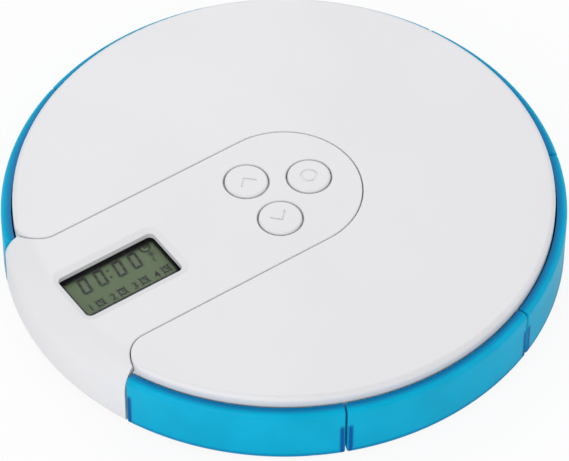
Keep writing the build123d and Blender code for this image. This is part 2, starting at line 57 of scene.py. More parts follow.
# Places and sizes on the display in millimetres; places run from the window's lower left corner.
FIGURE_STARTS = (4.1, 8.75, 14.15, 18.6)
FIGURE_BASE = 8.1
COLON_START = 12.2
COLON_DOT = 0.65            # side of a dot
COLON_DOT_HEIGHTS = (1.1, 3.3)
CLOCK_SIGN = (24.5, 12.8)
CLOCK_RADIUS = 1.5
DAY_SIGN = (24.8, 10.3)
NIGHT_SIGN_DROP = 1.9       # moon below the sun
SUN_RADIUS, SUN_HOLE = 0.55, 0.2
RAY_START, RAY_END, RAY_WIDTH = 0.7, 1.05, 0.24
MOON_RADIUS = 0.75
MOON_HOLLOW = (0.35, 0.62)  # half axes of the crescent's inner edge
ALARM_SIGN = (6.05, 4.1)
ALARM_RADIUS = 1.15
ALARM_FIGURE = (3.3, 2.95)
ALARM_FIGURE_HEIGHT = 3.0

# Shares of a screw head's radius and height, of the shank's radius and of the pitch.
HEAD_PROFILE = ((0.55, 0.0), (0.85, 0.12), (1.0, 0.45), (1.0, 1.0))
CROSS_REACH, CROSS_DEPTH = 0.62, 0.6
THREAD_ROOT, THREAD_FLANK, SCREW_TIP = 0.8, 0.3, 0.15

# Name, side in metres, power in watts and place in metres of each lamp.
LAMPS = (
    ("key_lamp", 0.5, 2.2, (0.25, 0.55, 0.75)),
    ("fill_lamp", 0.8, 3.6, (-0.85, -0.4, 0.4)),
    ("rim_lamp", 0.8, 1.2, (0.6, -0.75, 0.45)),
)
ROOM_STRENGTH = 0.7         # light of the world on the object
FLOOR_REACH = 3.0           # metres from the middle to each edge of the floor
FLOOR_WHITE = 0.9           # share of plain white that the camera sees in the floor

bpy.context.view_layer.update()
DRAWERS = sorted(name for name in NODES if name.startswith("pill_drawer_"))


# ---- colour and node helpers -------------------------------------------------------------------
def linear(hex_code):
    """Linear RGBA from an sRGB hex value such as #E4E4E6."""
    channels = [int(hex_code[i:i + 2], 16) / 255 for i in (1, 3, 5)]
    return tuple(c / 12.92 if c <= 0.04045 else ((c + 0.055) / 1.055) ** 2.4 for c in channels) + (1.0,)


STEEL = linear("#C8C6BE")       # nickel plate, also the bare ends of the cells


def new_material(name):
    """Empty node material; returns the material and its tree."""
    material = bpy.data.materials.new(name)
    material.use_nodes = True
    material.node_tree.nodes.clear()
    return material, material.node_tree


def add_node(tree, kind, values=None, **settings):
    """Add a node, set its properties, and fill its inputs with numbers or links from other sockets."""
    node = tree.nodes.new(kind)
    for key, value in settings.items():
        setattr(node, key, value)
    for key, value in (values or {}).items():
        if isinstance(value, bpy.types.NodeSocket):
            tree.links.new(value, node.inputs[key])
        else:
            node.inputs[key].default_value = value
    return node


def object_noise(tree, grain, detail=2.0, roughness=0.5):
    """Noise on Object coordinates with a grain given in metres."""
    place = add_node(tree, "ShaderNodeTexCoord")
    return add_node(tree, "ShaderNodeTexNoise", {"Vector": place.outputs["Object"], "Scale": 1 / grain,
                                                 "Detail": detail, "Roughness": roughness})


def object_axes(tree):
    """Sockets X, Y and Z of the Object coordinates."""
    place = add_node(tree, "ShaderNodeTexCoord")
    return add_node(tree, "ShaderNodeSeparateXYZ", {"Vector": place.outputs["Object"]}).outputs


def darker(colour, share):
    """A colour at a share of its brightness."""
    return tuple(share * channel for channel in colour[:3]) + (1,)


def grey(level):
    """Neutral colour, also used as a plain value."""
    return (level,) * 3 + (1,)


def mottle(tree, noise, first, second, start=0.3, end=0.7):
    """Colour that goes from the first to the second between two values of a noise."""
    node = add_node(tree, "ShaderNodeValToRGB", {"Fac": noise.outputs["Fac"]})
    for element, position, colour in zip(node.color_ramp.elements, (start, end), (first, second)):
        element.position = position
        element.color = colour
    return node.outputs["Color"]


def bumps(tree, noise, strength, depth=0.05 * MM):
    """Normal of a surface with a noise for its relief."""
    node = add_node(tree, "ShaderNodeBump", {"Height": noise.outputs["Fac"], "Strength": strength,
                                             "Distance": depth})
    return node.outputs["Normal"]


def finish_material(tree, shader):
    """Link a shader to the material's output."""
    add_node(tree, "ShaderNodeOutputMaterial", {"Surface": shader.outputs[0]})


def finish_surface(tree, values):
    """End a material in a Principled surface with these inputs."""
    finish_material(tree, add_node(tree, "ShaderNodeBsdfPrincipled", values))


def paint(node_name, material):
    """Give a carried-over CAD node its material."""
    slots = NODES[node_name].data.materials
    slots.clear()
    slots.append(material)


# ---- materials ---------------------------------------------------------------------------------
def moulded_abs(name, colour, roughness, texture, relief):
    """Injection-moulded ABS: satin, with the fine even grain that a spark-eroded mould leaves."""
    material, tree = new_material(name)
    # Cloudiness over several centimetres, the slight flow shading of a thin white moulding.
    cloud = object_noise(tree, 30 * MM, detail=1.0)
    # The real grain is about 0.05 mm; it is drawn coarser so that it shows as a soft satin break-up.
    grain = object_noise(tree, texture, detail=3.0, roughness=0.6)
    spread = 0.05
    finish_surface(tree, {
        "Base Color": mottle(tree, cloud, darker(colour, 0.975), colour),
        "Roughness": mottle(tree, grain, grey(roughness - spread), grey(roughness + spread)),
        "Normal": bumps(tree, grain, relief),
        "IOR": 1.54,
    })
    return material


def soft_step(tree, value, start, end):
    """0 below start, 1 above end, smooth between; start may be the larger one."""
    node = add_node(tree, "ShaderNodeMapRange", {"Value": value, "From Min": start, "From Max": end},
                    interpolation_type="SMOOTHSTEP")
    return node.outputs["Result"]


def calculate(tree, operation, *values):
    """Math node on numbers and sockets."""
    node = add_node(tree, "ShaderNodeMath", dict(enumerate(values)), operation=operation)
    return node.outputs[0]


def wall_tint_and_painted_ledge_shade(tree, settings):
    """1 where a drawer's side wall or floor stands behind its translucent front, with painted shade on the
    fronts' ledge next to the cover, else 0.
    """
    x, y, z = object_axes(tree)
    radius = calculate(tree, "SQRT", calculate(tree, "ADD", calculate(tree, "MULTIPLY", x, x),
                                               calculate(tree, "MULTIPLY", y, y)))
    # Angle to the nearest plane between two sectors, then the distance to that plane.
    sector = 2 * pi / (len(DRAWERS) + 1)
    turn = calculate(tree, "ADD", calculate(tree, "ARCTAN2", y, x), sector / 2 + 2 * pi)
    aside = calculate(tree, "PINGPONG", turn, sector / 2)
    distance = calculate(tree, "MULTIPLY", radius, calculate(tree, "SINE", aside))
    blur = settings.wall_blur
    top_fade = 4 * blur
    start = soft_step(tree, distance, settings.wall_start - blur, settings.wall_start + blur)
    end = soft_step(tree, distance, settings.wall_end + blur, settings.wall_end - blur)
    below_top = soft_step(tree, z, settings.wall_top + blur, settings.wall_top - top_fade)
    wall = calculate(tree, "MULTIPLY", calculate(tree, "MULTIPLY", start, end), below_top)
    floor = soft_step(tree, z, settings.floor_top + blur, settings.floor_top - blur)
    # Painted shade on the fronts' flat ledge, deepest at the cover's foot.
    above = soft_step(tree, z, settings.ledge_height - blur, settings.ledge_height)
    inside = soft_step(tree, radius, settings.ledge_outer, settings.ledge_inner)
    ledge = calculate(tree, "MULTIPLY", above, inside)
    edges = calculate(tree, "MAXIMUM", calculate(tree, "MULTIPLY", floor, settings.floor_share),
                      calculate(tree, "MULTIPLY", ledge, settings.painted_ledge_shade_share))
    return calculate(tree, "MAXIMUM", wall, edges)


def tinted_polystyrene(name, settings):
    """Translucent blue polystyrene: glossy outside, clouded inside, deeper where walls stand behind it, with
    painted shade on the ledge next to the cover.
    """
    colour = tuple(settings.colour)
    material, tree = new_material(name)
    cloud = object_noise(tree, 12 * MM, detail=2.0)
    clouded = mottle(tree, cloud, darker(colour, 0.9), colour, start=0.35, end=0.65)
    # Deep tint where walls stand behind the front; the same colour is the painted shade on the ledge.
    tint = add_node(tree, "ShaderNodeMixRGB", {"Fac": wall_tint_and_painted_ledge_shade(tree, settings), "Color1": clouded,
                                               "Color2": tuple(settings.deep_colour)})
    ripple = object_noise(tree, 4 * MM, detail=1.0)
    finish_surface(tree, {
        "Base Color": tint.outputs["Color"],
        "Roughness": 0.3,
        "Transmission Weight": 0.04,
        "IOR": 1.59,
        "Specular IOR Level": 0.05,
        "Subsurface Weight": 0.2,
        "Subsurface Radius": (0.1, 0.7, 1.0),
        "Subsurface Scale": 1.5 * MM,
        "Normal": bumps(tree, ripple, strength=0.05, depth=0.2 * MM),
    })
    return material


def clear_acrylic(name):
    """Clear cast acrylic window: almost invisible, with a faint surface reflection."""
    material, tree = new_material(name)
    scuff = object_noise(tree, 1.2 * MM, detail=4.0)
    finish_surface(tree, {
        "Base Color": linear("#101412"),
        "IOR": 1.49,
        "Alpha": 0.04,
        "Roughness": mottle(tree, scuff, grey(0.04), grey(0.10), start=0.4, end=0.8),
    })
    return material


def display_film(name, settings):
    """Liquid-crystal glass: olive film, with a painted shadow of the window's walls along its far and right
    edges and a thin painted shade line along the others.
    """
    corner = window_corner(settings)
    field = tuple(settings.field)
    material, tree = new_material(name)
    x, y, _ = object_axes(tree)
    right, far = corner.x + settings.window_length, corner.y + settings.window_width
    left, near = corner.x + settings.near_hidden, corner.y + settings.low_hidden
    # Painted shade: the window walls' shadow along the far and right edges, and a thin painted shade line
    # along the left and near edges where the rim meets the film.
    dark = soft_step(tree, y, far - settings.painted_shade_reach, far - settings.painted_shade_core)
    for edge in (soft_step(tree, x, right - 0.5 * settings.painted_shade_reach, right - settings.painted_rim_shade),
                 soft_step(tree, x, left + settings.painted_rim_shade, left),
                 soft_step(tree, y, near + settings.painted_rim_shade, near)):
        dark = calculate(tree, "MAXIMUM", dark, edge)
    weave = object_noise(tree, 0.35 * MM, detail=2.0)
    film = mottle(tree, weave, darker(field, 0.92), field)
    # The film takes the painted shade colour where this mask is up.
    blend = add_node(tree, "ShaderNodeMixRGB", {"Fac": dark, "Color1": film, "Color2": tuple(settings.shade)})
    finish_surface(tree, {"Base Color": blend.outputs["Color"], "Roughness": 0.35, "Specular IOR Level": 0.2})
    return material


def cell_jacket(name, node_name, colour, band_colour, band_at_end):
    """Printed shrink jacket of a dry cell: plain colour, a band at its plus end, bare steel at both ends."""
    low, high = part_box(node_name)
    size = high - low
    axis = max(range(3), key=lambda i: size[i])
    start, end = low[axis], high[axis]
    material, tree = new_material(name)
    along = object_axes(tree)[axis]
    edge, bare_length, band_length = 0.05 * MM, 1.5 * MM, 13 * MM
    bare = calculate(tree, "MAXIMUM", soft_step(tree, along, start + bare_length, start + bare_length - edge),
                     soft_step(tree, along, end - bare_length, end - bare_length + edge))
    band_edge = end - band_length if band_at_end else start + band_length
    band = soft_step(tree, along, band_edge, band_edge + (edge if band_at_end else -edge))
    print_colour = add_node(tree, "ShaderNodeMixRGB", {"Fac": band, "Color1": colour, "Color2": band_colour})
    skin = add_node(tree, "ShaderNodeMixRGB", {"Fac": bare, "Color1": print_colour.outputs["Color"],
                                               "Color2": STEEL})
    scuff = object_noise(tree, 2 * MM, detail=3.0)
    finish_surface(tree, {"Base Color": skin.outputs["Color"], "Metallic": bare,
                          "Roughness": mottle(tree, scuff, grey(0.22), grey(0.34))})
    return material


def plain_plastic(name, colour, roughness, grain=0.5 * MM, relief=0.2):
    """Moulded plastic or ink with a fine grain."""
    material, tree = new_material(name)
    noise = object_noise(tree, grain, detail=3.0)
    finish_surface(tree, {
        "Base Color": mottle(tree, noise, darker(colour, 0.85), colour),
        "Roughness": roughness,
        "Normal": bumps(tree, noise, relief),
    })
    return material


def plated_steel(name, colour, roughness):
    """Nickel or zinc plated steel: bright metal with fine drawn lines."""
    material, tree = new_material(name)
    place = add_node(tree, "ShaderNodeTexCoord")
    # Lines 5 mm long and a third of a millimetre wide.
    stretch = add_node(tree, "ShaderNodeMapping", {"Vector": place.outputs["Object"],
                                                   "Scale": (200.0, 3000.0, 3000.0)})
    lines = add_node(tree, "ShaderNodeTexNoise", {"Vector": stretch.outputs["Vector"], "Scale": 1.0,
                                                  "Detail": 2.0})
    spread = 0.08
    gloss = mottle(tree, lines, grey(roughness - spread), grey(roughness + spread))
    finish_surface(tree, {"Base Color": colour, "Metallic": 1.0, "Roughness": gloss})
    return material


# ---- mesh helpers ------------------------------------------------------------------------------
def prism(mesh, outline, low, high):
    """Closed prism from an anticlockwise outline of (x, y) points."""
    bottom = [mesh.verts.new((x, y, low)) for x, y in outline]
    top = [mesh.verts.new((x, y, high)) for x, y in outline]
    mesh.faces.new(list(reversed(bottom)))
    mesh.faces.new(top)
    count = len(outline)
    for i in range(count):
        j = (i + 1) % count
        mesh.faces.new((bottom[i], bottom[j], top[j], top[i]))


def ring(mesh, centre, outer, inner, low, high, count=32):
    """Closed flat ring."""
    rows = []
    for radius, height in ((outer, low), (outer, high), (inner, high), (inner, low)):
        rows.append([mesh.verts.new((centre[0] + radius * cos(2 * pi * i / count),
                                     centre[1] + radius * sin(2 * pi * i / count), height))
                     for i in range(count)])
    for row, following in zip(rows, rows[1:] + rows[:1]):
        for i in range(count):
            j = (i + 1) % count
            mesh.faces.new((row[i], row[j], following[j], following[i]))


def lathe(mesh, profile, count=32):
    """Closed turned body; profile is (radius, height) points that start and end on the axis."""
    (_, bottom), *rims, (_, top) = profile
    foot, crown = mesh.verts.new((0, 0, bottom)), mesh.verts.new((0, 0, top))
    rings = [[mesh.verts.new((radius * cos(2 * pi * i / count), radius * sin(2 * pi * i / count), height))
              for i in range(count)] for radius, height in rims]
    for i in range(count):
        j = (i + 1) % count
        mesh.faces.new((foot, rings[0][j], rings[0][i]))
        for lower, upper in zip(rings, rings[1:]):
            mesh.faces.new((lower[i], lower[j], upper[j], upper[i]))
        mesh.faces.new((rings[-1][i], rings[-1][j], crown))


def bar(start, end, width):
    """Outline of a straight stroke from start to end."""
    along = (Vector(end) - Vector(start)).normalized() * width / 2
    side = Vector((-along.y, along.x))
    corners = (Vector(start) - side, Vector(end) - side, Vector(end) + side, Vector(start) + side)
    return [tuple(corner) for corner in corners]


def new_object(name, mesh):
    """Turn a bmesh into a scene object."""
    data = bpy.data.meshes.new(name)
    mesh.to_mesh(data)
    mesh.free()
    piece = bpy.data.objects.new(name, data)
    bpy.context.scene.collection.objects.link(piece)
    return piece


def make_piece(name, mesh, material, body):
    """Turn a bmesh into a finished piece that rides on a body."""
    piece = new_object(name, mesh)
    piece.data.materials.append(material)
    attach(piece, body)
    return piece


def join_case(piece):
    """Let a finished piece ride on the case."""
    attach(piece, "case")


# ---- settings ----------------------------------------------------------------------------------
class ShellSettings(bpy.types.PropertyGroup):
    """White mouldings: cover, control housing, caps and base."""
    colour: FloatVectorProperty(name="Shell colour", description="Satin white of cover and housing",
                                subtype="COLOR", size=4, default=linear("#E6E6E8"))
    base_colour: FloatVectorProperty(name="Base colour", description="White of the base tray and its door",
                                     subtype="COLOR", size=4, default=linear("#DCDCDE"))
    roughness: FloatProperty(name="Roughness", description="Satin gloss of the shells", default=0.42,
                             min=0.1, max=0.9)
    grain: FloatProperty(name="Grain", description="Width of the moulded grain", default=0.35 * MM,
                         unit="LENGTH")


class DrawerSettings(bpy.types.PropertyGroup):
    """Translucent drawers."""
    colour: FloatVectorProperty(name="Drawer colour", description="Body tint of the drawers",
                                subtype="COLOR", size=4, default=linear("#00B4DC"))
    # The deep tint is also the colour of the painted shade on the ledge.
    deep_colour: FloatVectorProperty(name="Deep tint",
                                     description="Tint where a wall stands behind the front",
                                     subtype="COLOR", size=4, default=linear("#005CA4"))
    wall_start: FloatProperty(name="Wall start",
                              description="Outer face of a side wall to the sector's plane",
                              default=0.45 * MM, unit="LENGTH")
    wall_end: FloatProperty(name="Wall end", description="Inner face of a side wall to the sector's plane",
                            default=1.6 * MM, unit="LENGTH")
    wall_top: FloatProperty(name="Wall top", description="Height of the side walls", default=12.0 * MM,
                            unit="LENGTH")
    wall_blur: FloatProperty(name="Wall blur", description="How softly a wall shows through",
                             default=0.35 * MM, unit="LENGTH")
    floor_top: FloatProperty(name="Floor top", description="Height of the drawers' floor", default=3.0 * MM,
                             unit="LENGTH")
    floor_share: FloatProperty(name="Floor share", description="How strongly the floor shows through",
                               default=0.45, subtype="FACTOR")
    # The ledge settings place painted shade on the fronts' flat top, deepest at the cover's foot.
    ledge_height: FloatProperty(name="Ledge height", description="Height of the fronts' flat top",
                                default=17.1 * MM, unit="LENGTH")
    ledge_inner: FloatProperty(name="Ledge inner", description="Radius where the ledge is deepest",
                               default=67.8 * MM, unit="LENGTH")
    ledge_outer: FloatProperty(name="Ledge outer", description="Radius where the ledge has the body tint",
                               default=69.8 * MM, unit="LENGTH")
    # Strength of the painted shade on the ledge.
    painted_ledge_shade_share: FloatProperty(name="Ledge share", description="How much deeper the thick upper edge looks",
                               default=0.7, subtype="FACTOR")


class DisplaySettings(bpy.types.PropertyGroup):
    """Film, clock figures and signs of the display."""
    field: FloatVectorProperty(name="Field", description="Unlit field of the display", subtype="COLOR",
                               size=4, default=linear("#607450"))
    # Colour of the painted shade: the window walls' painted shadow along the far and right edges, and the
    # thin painted shade line along the left and near edges.
    shade: FloatVectorProperty(name="Shaded edge",
                               description="Colour of the display's far and right borders", subtype="COLOR",
                               size=4, default=linear("#242226"))
    ink: FloatVectorProperty(name="Segments", description="Dark segments", subtype="COLOR", size=4,
                             default=linear("#040503"))
    window_length: FloatProperty(name="Window length", description="Opening along the reading direction",
                                 default=27.6 * MM, unit="LENGTH")
    window_width: FloatProperty(name="Window width", description="Opening across the reading direction",
                                default=14.5 * MM, unit="LENGTH")
    # The margins run to the thin painted shade line along the window's left and near edges; the setting after
    # them is that line's width.
    near_hidden: FloatProperty(name="Left margin", description="Window's left edge to the seal line",
                               default=1.3 * MM, unit="LENGTH")
    low_hidden: FloatProperty(name="Lower margin", description="Window's lower edge to the seal line",
                              default=2.2 * MM, unit="LENGTH")
    painted_rim_shade: FloatProperty(name="Seal", description="Width of the dark seal line", default=0.35 * MM,
                        unit="LENGTH")
    # Painted shadow along the far edge: where it begins and where it is full. Along the right edge it reaches
    # half as far.
    painted_shade_reach: FloatProperty(name="Shade reach",
                               description="Window's far edge to where the shade begins", default=1.6 * MM,
                               unit="LENGTH")
    painted_shade_core: FloatProperty(name="Shade core", description="Window's far edge to where the shade is full",
                              default=0.5 * MM, unit="LENGTH")
    figure_height: FloatProperty(name="Figure height", description="Height of the clock figures",
                                 default=5.2 * MM, unit="LENGTH")
    figure_width: FloatProperty(name="Figure width", description="Width of the clock figures",
                                default=2.7 * MM, unit="LENGTH")
    stroke: FloatProperty(name="Stroke", description="Width of a clock segment", default=0.74 * MM,
                          unit="LENGTH")
    mitre: FloatProperty(name="Mitre", description="Half gap between neighbouring segments",
                         default=0.1 * MM, unit="LENGTH")
    sign_line: FloatProperty(name="Sign line", description="Width of the lines in the small signs",
                             default=0.46 * MM, unit="LENGTH")
    slant: FloatProperty(name="Slant", description="Lean of the clock figures, as a tangent", default=0.12)
    relief: FloatProperty(name="Film thickness", description="Height of the drawn segments over the glass",
                          default=0.03 * MM, unit="LENGTH")
    alarm_count: IntProperty(name="Alarms", description="Alarm signs in the lower row", default=4, min=1,
                             max=6)
    alarm_pitch: FloatProperty(name="Alarm pitch", description="Distance between alarm signs",
                               default=6.33 * MM, unit="LENGTH")


class MarkSettings(bpy.types.PropertyGroup):
    """Marks sunk into the button caps."""
    size: FloatProperty(name="Mark size", description="Width of a mark", default=4.4 * MM, unit="LENGTH")
    depth: FloatProperty(name="Depth", description="How deep a mark is sunk", default=0.25 * MM,
                         unit="LENGTH")
    stroke: FloatProperty(name="Stroke", description="Width of a mark's lines", default=0.7 * MM,
                          unit="LENGTH")


class ScrewSettings(bpy.types.PropertyGroup):
    """Cross-recessed pan-head screws."""
    case_head: FloatProperty(name="Case screw head", description="Head height of the case screws",
                             default=1.6 * MM, unit="LENGTH")
    board_head: FloatProperty(name="Board screw head", description="Head height of the board screws",
                              default=1.0 * MM, unit="LENGTH")
    shank_share: FloatProperty(name="Shank", description="Shank radius as a share of the head's",
                               default=0.53)
    recess_share: FloatProperty(name="Recess",
                                description="Half width of the cross as a share of the head's radius",
                                default=0.15)
    thread_pitch: FloatProperty(name="Thread pitch", description="Distance between threads",
                                default=0.7 * MM, unit="LENGTH")


class StageSettings(bpy.types.PropertyGroup):
    """Camera, lamps and floor."""
    lens: FloatProperty(name="Lens", description="Focal length in millimetres", default=257.4)
    distance: FloatProperty(name="Camera distance", description="From the middle of the case",
                            default=1.0104, unit="LENGTH")
    azimuth: FloatProperty(name="Azimuth", description="Camera direction round the case",
                           default=radians(-34.9), unit="ROTATION")
    elevation: FloatProperty(name="Elevation", description="Camera height angle", default=radians(47.98),
                             unit="ROTATION")
    roll: FloatProperty(name="Roll", description="Turn of the camera about its own axis",
                        default=radians(0.15), unit="ROTATION")
    shift: FloatVectorProperty(name="Shift",
                               description="Lens shift across and up, as shares of the picture's width",
                               size=2, default=(0.0010, -0.0253))
    floor_colour: FloatVectorProperty(name="Floor", description="Pale floor", subtype="COLOR", size=4,
                                      default=linear("#F4F4F4"))


SETTINGS = {
    "pill_box_shell": ShellSettings,
    "pill_box_drawers": DrawerSettings,
    "pill_box_display": DisplaySettings,
    "pill_box_marks": MarkSettings,
    "pill_box_screws": ScrewSettings,
    "pill_box_stage": StageSettings,
}


# ---- operators ---------------------------------------------------------------------------------
class PILLBOX_OT_mouldings(bpy.types.Operator):
    """Finish the cover, the control housing and the base mouldings"""
    bl_idname = "pillbox.mouldings"
    bl_label = "White Mouldings"

    def execute(self, context):
        settings = context.scene.pill_box_shell
        shell = moulded_abs("satin_white_abs", tuple(settings.colour), settings.roughness, settings.grain,
                            relief=0.25)
        base = moulded_abs("matt_white_abs", tuple(settings.base_colour), roughness=0.55,
                           texture=settings.grain, relief=0.35)
        for name in ("top_cover", "control_housing"):
            paint(name, shell)
        for name in ("base_tray", "bay_deck", "battery_door"):
            paint(name, base)
        return {"FINISHED"}


class PILLBOX_OT_drawers(bpy.types.Operator):
    """Finish the translucent drawers"""
    bl_idname = "pillbox.drawers"
    bl_label = "Drawers"

    def execute(self, context):
        blue = tinted_polystyrene("tinted_blue_polystyrene", context.scene.pill_box_drawers)
        for name in DRAWERS:
            paint(name, blue)
        return {"FINISHED"}


def window_corner(settings):
    """Lower left corner of the display window and the height of the display's glass."""
    low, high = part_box("lcd_panel")
    middle = (low + high) / 2
    return Vector((middle.x - settings.window_length / 2, middle.y - settings.window_width / 2, high.z))


def clock_figures(settings, corner):
    """Four slanted noughts of six segments each, and a colon."""
    mesh = bmesh.new()
    width, height, stroke = settings.figure_width, settings.figure_height, settings.stroke
    low, high = corner.z, corner.z + settings.relief
    mitre = settings.mitre

    def place(x, y, left):
        return (corner.x + left + x + settings.slant * y, corner.y + FIGURE_BASE * MM + y)

    for start in FIGURE_STARTS:
        left = start * MM
        half = height / 2
        strokes = [
            [(mitre, 0), (width - mitre, 0), (width - mitre - stroke, stroke), (mitre + stroke, stroke)],
            [(mitre + stroke, height - stroke), (width - mitre - stroke, height - stroke),
             (width - mitre, height), (mitre, height)],
        ]
        for outer, inner, waist in ((mitre, mitre + stroke, half - mitre),
                                    (height - mitre, height - mitre - stroke, half + mitre)):
            left_side = [(0, outer), (stroke, inner), (stroke, waist), (0, waist)]
            if outer > inner:
                left_side.reverse()
            strokes.append(left_side)
            strokes.append([(width - x, y) for x, y in reversed(left_side)])
        for outline in strokes:
            prism(mesh, [place(x, y, left) for x, y in outline], low, high)
    side = COLON_DOT * MM
    for foot in (height * MM for height in COLON_DOT_HEIGHTS):
        dot = [(0, foot), (side, foot), (side, foot + side), (0, foot + side)]
        prism(mesh, [place(x, y, COLON_START * MM) for x, y in dot], low, high)
    return mesh


def clock_sign(mesh, centre, radius, line, low, high):
    """Clock face: ring and two hands."""
    ring(mesh, centre, radius, radius - line, low, high)
    x, y = centre
    hand_width, hand_length = 0.8 * line, 0.6 * radius
    prism(mesh, bar((x, y - hand_width / 2), (x, y + hand_length), hand_width), low, high)
    prism(mesh, bar((x + hand_width / 2, y), (x + hand_length, y), hand_width), low, high)


def day_and_night_signs(mesh, corner, low, high):
    """Small sun with rays, and a crescent moon below it, for the two halves of the day."""
    middle = Vector((corner.x + DAY_SIGN[0] * MM, corner.y + DAY_SIGN[1] * MM))
    ring(mesh, middle, SUN_RADIUS * MM, SUN_HOLE * MM, low, high, count=20)
    ray_count = 8
    for turn in range(ray_count):
        angle = turn * 2 * pi / ray_count
        way = Vector((cos(angle), sin(angle))) * MM
        prism(mesh, bar(middle + way * RAY_START, middle + way * RAY_END, RAY_WIDTH * MM), low, high)
    x, y = middle.x, middle.y - NIGHT_SIGN_DROP * MM
    # The outer edge runs from the upper tip to the lower one, the inner edge runs back between them.
    back = [radians(90 + 15 * i) for i in range(13)]
    hollow = [radians(260 - 16 * i) for i in range(1, 10)]
    crescent = [(x + MOON_RADIUS * MM * cos(a), y + MOON_RADIUS * MM * sin(a)) for a in back]
    crescent += [(x + MOON_HOLLOW[0] * MM * cos(a), y + MOON_HOLLOW[1] * MM * sin(a)) for a in hollow]
    prism(mesh, crescent, low, high)


def numeral(text, height, depth):
    """Mesh of one figure, lying flat with the middle of its foot at the origin, in slightly bold lines."""
    boldness = 0.02
    curve = bpy.data.curves.new("figure", "FONT")
    curve.body = text
    curve.size = height
    curve.extrude = depth / 2
    curve.resolution_u = 3
    curve.offset = boldness * height
    curve.align_x = "CENTER"
    holder = bpy.data.objects.new("figure", curve)
    bpy.context.scene.collection.objects.link(holder)
    bpy.context.view_layer.update()
    evaluated = holder.evaluated_get(bpy.context.evaluated_depsgraph_get())
    data = bpy.data.meshes.new_from_object(evaluated)
    bpy.data.objects.remove(holder)
    bpy.data.curves.remove(curve)
    return data


def group_input(tree, name, kind):
    """Add a named input to a geometry node group and return its identifier."""
    return tree.interface.new_socket(name, in_out="INPUT", socket_type=kind).identifier


def repeat_modifier(piece, name, inputs, points, material):
    """Geometry nodes on a piece that set copies of its mesh at points and give them a material.

    inputs maps a named input to (socket type, value); points(tree, group) returns the points' socket.
    """
    tree = bpy.data.node_groups.new(name, "GeometryNodeTree")
    tree.interface.new_socket("Geometry", in_out="OUTPUT", socket_type="NodeSocketGeometry")
    group_input(tree, "Geometry", "NodeSocketGeometry")
    identifiers = {key: group_input(tree, key, kind) for key, (kind, _) in inputs.items()}
    group = add_node(tree, "NodeGroupInput")
    spread = add_node(tree, "GeometryNodeInstanceOnPoints", {"Points": points(tree, group),
                                                             "Instance": group.outputs["Geometry"]})
    real = add_node(tree, "GeometryNodeRealizeInstances", {"Geometry": spread.outputs[0]})
    finished = add_node(tree, "GeometryNodeSetMaterial", {"Geometry": real.outputs[0], "Material": material})
    add_node(tree, "NodeGroupOutput", {"Geometry": finished.outputs[0]})
    modifier = piece.modifiers.new(name, "NODES")
    modifier.node_group = tree
    for key, (_, value) in inputs.items():
        modifier[identifiers[key]] = value


def row_points(tree, group):
    """Points in a row along +X from the origin."""
    step = add_node(tree, "ShaderNodeCombineXYZ", {"X": group.outputs["Pitch"]})
    row = add_node(tree, "GeometryNodeMeshLine", {"Count": group.outputs["Count"], "Offset": step.outputs[0]})
    return row.outputs[0]


def placed_points(tree, group):
    """Points of the group's Places object."""
    places = add_node(tree, "GeometryNodeObjectInfo", {"Object": group.outputs["Places"]})
    return places.outputs["Geometry"]


def evaluated_mesh(piece):
    """New mesh with the piece's modifiers worked in."""
    bpy.context.view_layer.update()
    evaluated = piece.evaluated_get(bpy.context.evaluated_depsgraph_get())
    return bpy.data.meshes.new_from_object(evaluated)


def bake_modifiers(piece):
    """Work in a piece's modifiers and shade its rounds smooth, with large faces keeping their own normals."""
    data = evaluated_mesh(piece)
    data.shade_smooth()
    data.set_sharp_from_angle(angle=radians(30))
    piece.modifiers.clear()
    piece.data = data
    piece.modifiers.new("normals", "WEIGHTED_NORMAL").keep_sharp = True
    data = evaluated_mesh(piece)
    piece.modifiers.clear()
    piece.data = data


